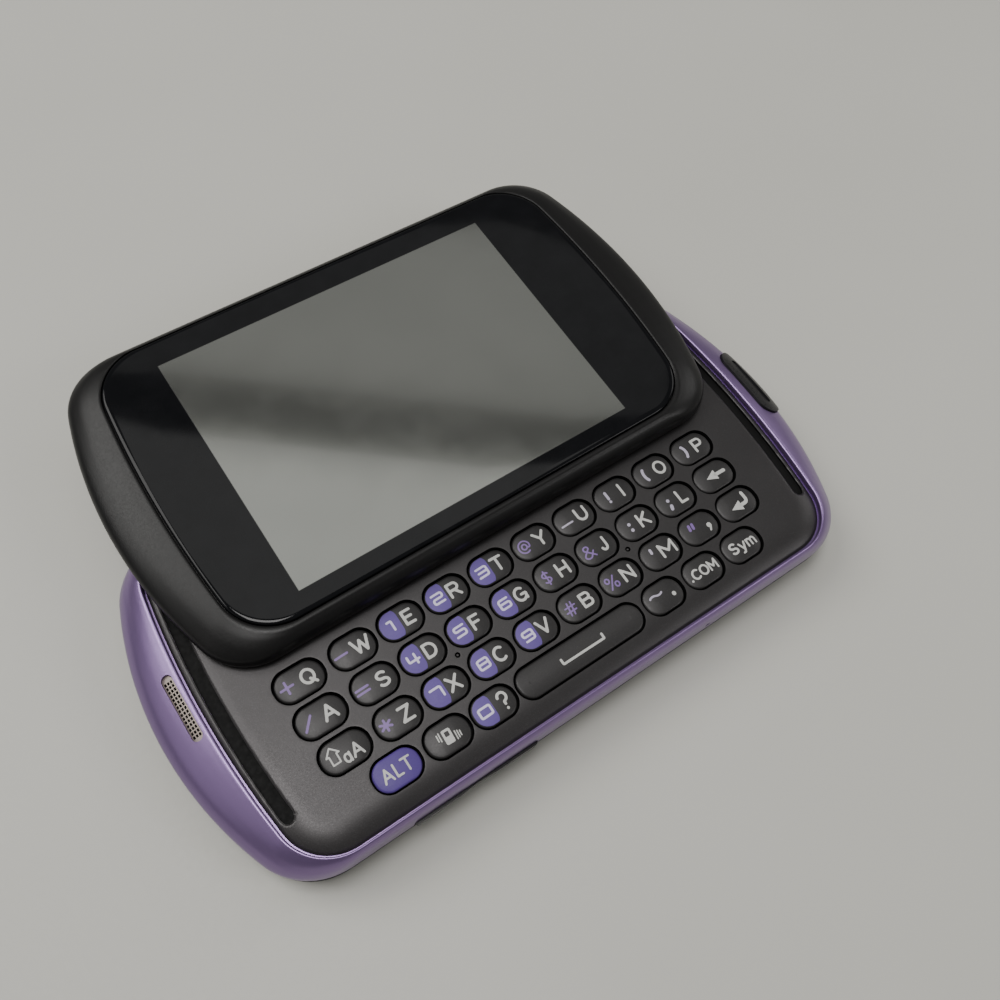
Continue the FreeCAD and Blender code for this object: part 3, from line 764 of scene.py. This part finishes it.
G = {  # strokes in a unit box, x right, y up
    "A": [[(0, 0), (0.5, 1), (1, 0)], [(0.2, 0.32), (0.8, 0.32)]],
    "B": [[(0, 0), (0, 1)], [(0, 1), (0.6, 1)] + arc(0.62, 0.76, 0.3, 0.24, 90, -90) + [(0, 0.52)], [(0, 0.52), (0.62, 0.52)] + arc(0.66, 0.26, 0.32, 0.26, 90, -90) + [(0, 0)]],
    "C": [arc(0.56, 0.5, 0.54, 0.5, 52, 308, 22)],
    "D": [[(0, 0), (0, 1)], [(0, 1), (0.4, 1)] + arc(0.42, 0.5, 0.56, 0.5, 90, -90, 20) + [(0, 0)]],
    "E": [[(0.95, 1), (0, 1), (0, 0), (0.95, 0)], [(0, 0.52), (0.82, 0.52)]],
    "F": [[(0.95, 1), (0, 1), (0, 0)], [(0, 0.5), (0.8, 0.5)]],
    "G": [arc(0.54, 0.5, 0.54, 0.5, 52, 350, 24) + [(1.0, 0.46), (0.6, 0.46)], [(1.03, 0.46), (1.03, 0.06)]],
    "H": [[(0, 0), (0, 1)], [(1, 0), (1, 1)], [(0, 0.5), (1, 0.5)]],
    "I": [[(0.5, 0), (0.5, 1)]],
    "J": [[(0.72, 1), (0.72, 0.3)] + arc(0.36, 0.3, 0.36, 0.3, 0, -160, 12)],
    "K": [[(0, 0), (0, 1)], [(0.92, 1), (0.05, 0.42)], [(0.32, 0.6), (0.98, 0)]],
    "L": [[(0, 1), (0, 0), (0.85, 0)]],
    "M": [[(0, 0), (0, 1), (0.5, 0.3), (1, 1), (1, 0)]],
    "N": [[(0, 0), (0, 1), (1, 0), (1, 1)]],
    "O": [arc(0.5, 0.5, 0.52, 0.5, 0, 360, 30)],
    "P": [[(0, 0), (0, 1)], [(0, 1), (0.6, 1)] + arc(0.62, 0.72, 0.34, 0.28, 90, -90) + [(0, 0.44)]],
    "Q": [arc(0.5, 0.5, 0.52, 0.5, 0, 360, 30), [(0.62, 0.26), (1.02, -0.1)]],
    "R": [[(0, 0), (0, 1)], [(0, 1), (0.6, 1)] + arc(0.62, 0.73, 0.34, 0.27, 90, -90) + [(0, 0.46)], [(0.5, 0.46), (0.98, 0)]],
    "S": [arc(0.5, 0.75, 0.42, 0.25, 35, 210, 14) + arc(0.5, 0.25, 0.46, 0.25, 55, -150, 16)[0:0], arc(0.5, 0.75, 0.42, 0.25, 35, 250, 14) + [(0.68, 0.48)] + arc(0.5, 0.25, 0.44, 0.25, 50, -150, 16)],
    "T": [[(0, 1), (1, 1)], [(0.5, 1), (0.5, 0)]],
    "U": [[(0, 1), (0, 0.42)] + arc(0.5, 0.42, 0.5, 0.42, 180, 360, 16) + [(1, 1)]],
    "V": [[(0, 1), (0.5, 0), (1, 1)]],
    "W": [[(0, 1), (0.27, 0), (0.5, 0.85), (0.73, 0), (1, 1)]],
    "X": [[(0, 1), (1, 0)], [(0, 0), (1, 1)]],
    "Y": [[(0, 1), (0.5, 0.45), (1, 1)], [(0.5, 0.45), (0.5, 0)]],
    "Z": [[(0, 1), (0.98, 1), (0, 0), (1, 0)]],
    # squared digits
    "0": [sq([(0.5, 1), (1, 1), (1, 0), (0, 0), (0, 1), (0.5, 1)])],
    "1": [sq([(0.1, 1), (0.62, 1), (0.62, 0)], 0.12)],
    "2": [sq([(0, 1), (1, 1), (1, 0.5), (0, 0.5), (0, 0), (1, 0)], 0.2)],
    "3": [sq([(0, 1), (1, 1), (1, 0), (0, 0)], 0.2), [(0.08, 0.5), (1, 0.5)]],
    "4": [sq([(0, 1), (0, 0.36), (1, 0.36)], 0.12), [(0.72, 1), (0.72, 0)]],
    "5": [sq([(1, 1), (0, 1), (0, 0.54), (1, 0.54), (1, 0), (0, 0)], 0.2)],
    "6": [sq([(0.94, 1), (0, 1), (0, 0), (1, 0), (1, 0.54), (0.04, 0.54)], 0.2)],
    "7": [sq([(0, 1), (1, 1), (1, 0)], 0.2)],
    "8": [sq([(0.5, 1), (1, 1), (1, 0), (0, 0), (0, 1), (0.5, 1)], 0.2), [(0.05, 0.52), (0.95, 0.52)]],
    "9": [sq([(0.06, 0), (1, 0), (1, 1), (0, 1), (0, 0.48), (0.96, 0.48)], 0.2)],
    # signs
    "+": [[(0, 0.5), (1, 0.5)], [(0.5, 0), (0.5, 1)]],
    "-": [[(0, 0.5), (1, 0.5)]],
    "=": [[(0, 0.68), (1, 0.68)], [(0, 0.32), (1, 0.32)]],
    "_": [[(0, 0.1), (1, 0.1)]],
    "!": [[(0.5, 1), (0.5, 0.32)], [(0.5, 0.02), (0.5, 0.0)]],
    "(": [arc(1.0, 0.5, 0.75, 0.62, 130, 230, 12)],
    ")": [arc(0.0, 0.5, 0.75, 0.62, 50, -50, 12)],
    "/": [[(0.1, 0), (0.9, 1)]],
    "$": [arc(0.5, 0.72, 0.4, 0.2, 30, 250, 12) + arc(0.5, 0.3, 0.42, 0.2, 70, -150, 12), [(0.5, 1.08), (0.5, -0.08)]],
    "&": [[(1.0, 0.0), (0.25, 0.72)] + arc(0.45, 0.82, 0.22, 0.18, 200, -20, 10) + [(0.2, 0.42)] + arc(0.38, 0.22, 0.32, 0.22, 150, 300, 10) + [(0.95, 0.45)]],
    ":": [[(0.5, 0.72), (0.5, 0.7)], [(0.5, 0.12), (0.5, 0.1)]],
    ";": [[(0.5, 0.72), (0.5, 0.7)], [(0.52, 0.14), (0.36, -0.14)]],
    "*": [[(0.5, 0.05), (0.5, 0.95)], [(0.1, 0.28), (0.9, 0.72)], [(0.1, 0.72), (0.9, 0.28)]],
    "#": [[(0.3, 0), (0.46, 1)], [(0.62, 0), (0.78, 1)], [(0.05, 0.3), (0.95, 0.3)], [(0.1, 0.68), (1.0, 0.68)]],
    "%": [[(0.15, 0), (0.85, 1)], arc(0.18, 0.78, 0.18, 0.2, 0, 360, 14), arc(0.82, 0.22, 0.18, 0.2, 0, 360, 14)],
    "'": [[(0.5, 1), (0.44, 0.66)]],
    '"': [[(0.30, 1), (0.20, 0.55)], [(0.72, 1), (0.62, 0.55)]],
    ",": [[(0.5, 0.16), (0.34, -0.2)]],
    ".": [[(0.5, 0.05), (0.5, 0.03)]],
    "~": [arc(0.26, 0.42, 0.26, 0.2, 170, 40, 8) + arc(0.76, 0.62, 0.28, 0.22, 215, 340, 8)],
    "?": [arc(0.5, 0.72, 0.42, 0.28, 170, -50, 14) + [(0.5, 0.42), (0.5, 0.28)], [(0.5, 0.02), (0.5, 0.0)]],
    "@": [arc(0.5, 0.5, 0.5, 0.5, -50, 290, 26)[0:0], arc(0.5, 0.5, 0.5, 0.5, -60, -345, 26) + arc(0.84, 0.5, 0.14, 0.16, 0, -170, 8), arc(0.5, 0.5, 0.22, 0.22, 0, 360, 16)],
    "a": [arc(0.45, 0.32, 0.42, 0.32, 0, 360, 20), [(0.9, 0.68), (0.9, 0)]],
    "y": [[(0.05, 0.68), (0.5, 0.0)], [(0.95, 0.68), (0.38, -0.28), (0.1, -0.3)]],
    "m": [[(0, 0), (0, 0.68)], arc(0.25, 0.42, 0.25, 0.26, 180, 0, 10) + [(0.5, 0)], arc(0.75, 0.42, 0.25, 0.26, 180, 0, 10) + [(1.0, 0)]],
}


def seg_sdf(X, Y, paths):
    d = np.full(X.shape, 1e9)
    for p in paths:
        for (ax, ay), (bx, by) in zip(p[:-1], p[1:]):
            vx, vy = bx - ax, by - ay
            L = vx * vx + vy * vy
            t = np.clip(((X - ax) * vx + (Y - ay) * vy) / L, 0, 1) if L > 0 else 0.0
            d = np.minimum(d, np.hypot(X - ax - t * vx, Y - ay - t * vy))
    return d


def glyph(ch, cx, cy, w, h):
    return [[(cx + (px - 0.5) * w, cy + (py - 0.5) * h) for px, py in p] for p in G[ch] if len(p) > 1]


def legend(name, key, layers, step=0.085, lift=0.016, sink=0.05):
    """Printed marks as one thin closed skin that lies on the key's crown.
    layers: list of (signed distance function, material index, lift factor)."""
    kx, ky, kw = KEYS[key]
    wide = kw > 10
    verts, faces, mats = [], [], []
    for f, mi, lf in layers:
        (x0, x1, y0, y1), fn = f
        nx, ny = int((x1 - x0) / step) + 2, int((y1 - y0) / step) + 2
        xs, ys = x0 + np.arange(nx) * step, y0 + np.arange(ny) * step
        X, Y = np.meshgrid(xs, ys, indexing="ij")
        D = fn(X, Y)
        D = np.where(np.abs(D) < 1e-6, 1e-6, D)
        vid = {}
        tv = []

        def node(i, j):
            k = (i, j)
            if k not in vid:
                vid[k] = len(tv)
                tv.append((X[i, j], Y[i, j]))
            return vid[k]

        def cross(i, j, a, b):
            k = (i, j, a, b) if (i, j) < (a, b) else (a, b, i, j)
            if k not in vid:
                t = D[i, j] / (D[i, j] - D[a, b])
                t = min(max(t, 0.06), 0.94)
                vid[k] = len(tv)
                tv.append((X[i, j] + (X[a, b] - X[i, j]) * t, Y[i, j] + (Y[a, b] - Y[i, j]) * t))
            return vid[k]
        polys = []
        inside = D < 0
        for i in range(nx - 1):
            for j in range(ny - 1):
                c = [(i, j), (i + 1, j), (i + 1, j + 1), (i, j + 1)]
                s = [inside[p] for p in c]
                if not any(s):
                    continue
                if all(s):
                    polys.append([node(*p) for p in c])
                    continue
                if s[0] == s[2] and s[1] == s[3]:   # two opposite corners: two separate triangles
                    for k in range(4):
                        if s[k]:
                            p, a, b = c[k], c[(k + 1) % 4], c[(k - 1) % 4]
                            polys.append([node(*p), cross(*p, *a), cross(*b, *p)])
                    continue
                poly = []
                for k in range(4):
                    p, q = c[k], c[(k + 1) % 4]
                    if s[k]:
                        poly.append(node(*p))
                    if s[k] != s[(k + 1) % 4]:
                        poly.append(cross(*p, *q))
                polys.append(poly)
        edges = {}
        for p in polys:
            for a, b in zip(p, p[1:] + p[:1]):
                edges[(a, b)] = edges.get((a, b), 0) + 1
        off = len(verts)
        nt = len(tv)
        for px, py in tv:
            verts.append(((kx + px) * MM, (ky + py) * MM, (crown(px, py, wide) + lift * lf) * MM))
        for px, py in tv:
            verts.append(((kx + px) * MM, (ky + py) * MM, (crown(px, py, wide) - sink) * MM))
        for p in polys:
            faces.append([off + a for a in p])
            mats.append(mi)
            faces.append([off + nt + a for a in reversed(p)])
            mats.append(mi)
        for (a, b) in edges:
            if (b, a) not in edges:
                faces.append([off + b, off + a, off + nt + a, off + nt + b])
                mats.append(mi)
    pal = [M["ink"], M["ink_digit"], M["ink_purple"], M["patch"], M["ink_lilac"]]
    o = obj_from(name, verts, faces, pal, key, False)
    for p, mi in zip(o.data.polygons, mats):
        p.material_index = mi
    return o


def stroke_layer(paths, width, mi, lf=1.0, minus=None):
    P = np.array([q for p in paths for q in p])
    x0, y0 = P.min(0) - width
    x1, y1 = P.max(0) + width
    return (((x0, x1, y0, y1), lambda X, Y: seg_sdf(X, Y, paths) - width / 2), mi, lf)


def patch_layer(mi, digit_paths, dw):
    """The coloured patch on a digit key: it follows the key's left end and bulges on its right, and is left clear round the digit."""
    def fn(X, Y):
        key = rbox_d(X, Y, KEY_W - 0.52, KEY_D - 0.52, KEY_R - 0.26)
        d = np.maximum(key, rbox_d(X + 1.85, Y, 3.5, 5.2, 1.5))
        return np.maximum(d, -(seg_sdf(X, Y, digit_paths) - dw / 2))
    return (((-3.5, 0.2, -2.4, 2.4), fn), mi, 1.0)


LET_W, LET_H, LET_X, LET_S = 1.62, 1.98, 1.28, 0.41
PAIRS = {"q": "+", "w": "-", "e": "1", "r": "2", "t": "3", "y": "@", "u": "_", "i": "!", "o": "(", "p": ")",
         "a": "/", "s": "=", "d": "4", "f": "5", "g": "6", "h": "$", "j": "&", "k": ":", "l": ";",
         "z": "*", "x": "7", "c": "8", "v": "9", "b": "#", "n": "%", "m": "'"}
NARROW = {"I": 0.3, "J": 0.8, "E": 0.86, "F": 0.84, "L": 0.84, "M": 1.5, "W": 1.55, "N": 1.05, "Q": 1.06, "O": 1.08, "T": 1.05, "Y": 1.08, "V": 1.1, "A": 1.1}
for k, s in PAIRS.items():
    layers = []
    ch = k.upper()
    lw = LET_W * NARROW.get(ch, 1.0)
    layers.append(stroke_layer(glyph(ch, LET_X, 0.0, lw, LET_H), LET_S, 0))
    if s.isdigit():
        dp = glyph(s, -1.42, 0.0, 1.55 if s != "1" else 1.2, 1.42)
        layers.append(patch_layer(3, dp, 0.34))
        layers.append(stroke_layer(dp, 0.335, 1))
    elif s in "@$&%#":
        layers.append(stroke_layer(glyph(s, -1.62, 0.0, 1.8 if s != "$" else 1.3, 1.95), 0.24, 2))
    elif s in "()":
        layers.append(stroke_layer(glyph(s, -1.5, 0.0, 0.95, 2.0), 0.44, 4))
    elif s in "!:;'":
        layers.append(stroke_layer(glyph(s, -1.3, 0.0 if s != "'" else 0.25, 1.0, 1.7), 0.52 if s in ":;" else 0.42, 4))
    elif s == "_":
        layers.append(stroke_layer(glyph(s, -1.6, 0.2, 1.85, 1.5), 0.28, 4))
    else:
        layers.append(stroke_layer(glyph(s, -1.9, 0.0, 1.85, 1.75 if s != "/" else 1.7), 0.34, 2))
    legend("legend_" + k, "key_" + k, layers)

def head(x, y, ln, h):
    """Filled arrow head pointing to -X."""
    def fn(X, Y):
        u, v = X - x, np.abs(Y - y)
        return np.maximum(u - ln, (v * ln - u * h / 2) / math.hypot(ln, h / 2)) - 0.05
    return (((x - 0.2, x + ln + 0.2, y - h / 2 - 0.2, y + h / 2 + 0.2), fn), 0, 1.0)


legend("legend_backspace", "key_backspace", [stroke_layer([[(2.0, 0), (0.2, 0)]], 0.58, 0), head(-1.45, 0.0, 1.75, 1.6)])
legend("legend_enter", "key_enter", [stroke_layer([sq([(1.75, 1.15), (1.75, -0.5), (0.2, -0.5)], 0.75)], 0.58, 0), head(-1.4, -0.5, 1.75, 1.6)])
house = [[(-2.6, 0.45), (-1.65, 1.5), (-0.7, 0.45), (-1.1, 0.45), (-1.1, -0.85), (-2.2, -0.85), (-2.2, 0.45), (-2.6, 0.45)]]
legend("legend_shift", "key_shift", [stroke_layer(house, 0.22, 0), stroke_layer(glyph("a", -0.05, -0.62, 0.95, 1.75), 0.30, 0), stroke_layer(glyph("A", 1.5, -0.50, 1.4, 1.75), 0.33, 0)])
legend("legend_comma", "key_comma", [stroke_layer(glyph('"', -1.1, 0.25, 1.5, 1.6), 0.44, 2), stroke_layer([[(1.62, -0.42), (1.62, -0.41)]], 0.82, 0), stroke_layer([[(1.86, -0.55), (1.42, -1.22)]], 0.34, 0)])
legend("legend_alt", "key_alt", [stroke_layer(glyph("A", -1.55, 0, 1.3, 1.75), 0.30, 0), stroke_layer(glyph("L", 0.15, 0, 0.95, 1.75), 0.30, 0), stroke_layer(glyph("T", 1.55, 0, 1.25, 1.75), 0.30, 0)])
dp = glyph("0", -1.42, 0.0, 1.8, 1.3)
legend("legend_zero", "key_zero", [patch_layer(3, dp, 0.34), stroke_layer(dp, 0.335, 1), stroke_layer(glyph("?", 1.6, 0.0, 1.55, 2.45), 0.40, 0)])
legend("legend_tilde", "key_tilde", [stroke_layer(glyph("~", -1.1, 0.62, 2.1, 1.2), 0.30, 4), stroke_layer([[(1.6, -0.50), (1.6, -0.48)]], 0.68, 0)])
legend("legend_dotcom", "key_dotcom", [stroke_layer([[(-2.45, -0.62), (-2.45, -0.61)]], 0.36, 0), stroke_layer(glyph("C", -1.42, 0, 1.15, 1.45), 0.31, 0), stroke_layer(glyph("O", 0.12, 0, 1.25, 1.45), 0.31, 0), stroke_layer(glyph("M", 1.85, 0, 1.35, 1.45), 0.31, 0)])
legend("legend_symbol", "key_symbol", [stroke_layer(glyph("S", -1.55, 0.12, 1.15, 1.6), 0.34, 0), stroke_layer(glyph("y", 0.0, 0.05, 1.1, 1.6), 0.31, 0), stroke_layer(glyph("m", 1.7, 0.05, 1.5, 1.6), 0.31, 0)])
ph = [sq([(0, 0.95), (0.6, 0.95), (0.6, -0.95), (-0.6, -0.95), (-0.6, 0.95), (0, 0.95)], 0.3), [(-0.22, 0.55), (0.22, 0.55), (0.22, 0.1), (-0.22, 0.1), (-0.22, 0.55)], [(0, -0.5), (0, -0.49)]]
wav = [[(-1.08, 0.95), (-1.08, -0.25)], [(-1.42, 0.80), (-1.42, -0.10)], [(1.08, 0.25), (1.08, -0.95)], [(1.42, 0.15), (1.42, -0.85)], [(1.76, 0.0), (1.76, -0.70)]]
def tilt(paths, a):
    c, s = math.cos(math.radians(a)), math.sin(math.radians(a))
    return [[(c * x - s * y, s * x + c * y) for x, y in p] for p in paths]


def handset(X, Y):
    c, s = math.cos(math.radians(3)), math.sin(math.radians(3))
    U, W_ = c * X - s * Y, s * X + c * Y
    body = np.hypot(np.maximum(np.abs(U) - 0.42, 0), np.maximum(np.abs(W_) - 0.82, 0)) - 0.24
    body = np.where((np.abs(U) < 0.42) & (np.abs(W_) < 0.82), -0.24, body)
    scr = np.maximum(np.abs(U) - 0.34, np.abs(W_ - 0.36) - 0.36)
    return np.maximum(body, -scr)


legend("legend_vibrate", "key_vibrate", [(((-1.0, 1.0, -1.3, 1.3), handset), 0, 1.0), stroke_layer(tilt(wav, -4), 0.18, 0)])
legend("legend_space", "key_space", [stroke_layer([sq([(-3.4, 0.32), (-3.4, -0.42), (3.9, -0.42), (3.9, 0.32)], 0.12)], 0.36, 0)], step=0.1)

# ------------------------------------------------------------------ floor, light
def floor_material():
    m = Nodes("floor_pale_grey")
    n = m.noise(9.0, 3.0)
    f = m.noise(1400.0, 2.0)
    m.color(m.ramp(n, [(0.3, (0.47, 0.465, 0.43)), (0.7, (0.50, 0.495, 0.46))]))
    m.rough(m.maprange(f, 0.3, 0.7, 0.5, 0.6))
    m.normal(m.bump(f, 8e-6, 0.3))
    return m.m


bpy.ops.mesh.primitive_plane_add(size=4.0, location=(0, 0, -0.00002))
floor = bpy.context.object
floor.name = "floor"
floor.data.materials.append(floor_material())


def area(name, loc, target, size, power, color=(1, 1, 1), size_y=None):
    d = bpy.data.lights.new(name, "AREA")
    d.energy = power
    d.color = color
    d.shape = "RECTANGLE" if size_y else "SQUARE"
    d.size = size
    if size_y:
        d.size_y = size_y
    o = bpy.data.objects.new(name, d)
    bpy.context.scene.collection.objects.link(o)
    o.location = loc
    o.rotation_mode = "QUATERNION"
    o.rotation_quaternion = (Vector(target) - Vector(loc)).to_track_quat("-Z", "Y")
    return o


area("soft_key", (-0.50, 0.62, 0.85), (0, 0.01, 0), 0.60, 7.0, (1.0, 0.99, 0.96))
area("soft_left", (-0.85, 0.15, 0.50), (0, 0, 0), 0.45, 0.3, (1.0, 0.985, 0.95))
area("soft_front", (0.48, -0.52, 0.52), (0.02, -0.01, 0), 0.30, 1.3, (1.0, 0.99, 0.98))
area("soft_top", (-0.16, 0.10, 1.05), (-0.02, 0, 0), 0.38, 5.0, (1.0, 0.985, 0.97), 0.30)
area("soft_right", (0.80, 0.00, 0.45), (0.03, 0, 0), 0.34, 0.9, (1.0, 0.99, 0.97))


def panel(name, cx, cy, deg, sx, sy, power):
    """A dim panel lying flat 1.15 m up, seen mirrored in the window."""
    o = area(name, (cx, cy, 1.15), (cx, cy, 0), sx, power, (1.0, 1.0, 0.97), sy)
    o.rotation_quaternion = Matrix.Rotation(math.radians(deg), 3, "Z").to_quaternion() @ o.rotation_quaternion
    return o


# two dim panels with a dark diagonal gap between them
dx, dy = math.cos(math.radians(-38.2)), math.sin(math.radians(-38.2))
gx, gy = 0.330, 0.587
panel("panel_low", gx + dy * 0.19, gy - dx * 0.21, -38.2, 0.78, 0.32, 1.35)
panel("panel_far", gx - dy * 0.255, gy + dx * 0.225, -38.2, 0.90, 0.36, 0.66)
w = bpy.data.worlds.new("world")
bpy.context.scene.world = w
w.use_nodes = True
bg = w.node_tree.nodes["Background"]
bg.inputs[0].default_value = (0.80, 0.80, 0.77, 1)
bg.inputs[1].default_value = 0.22
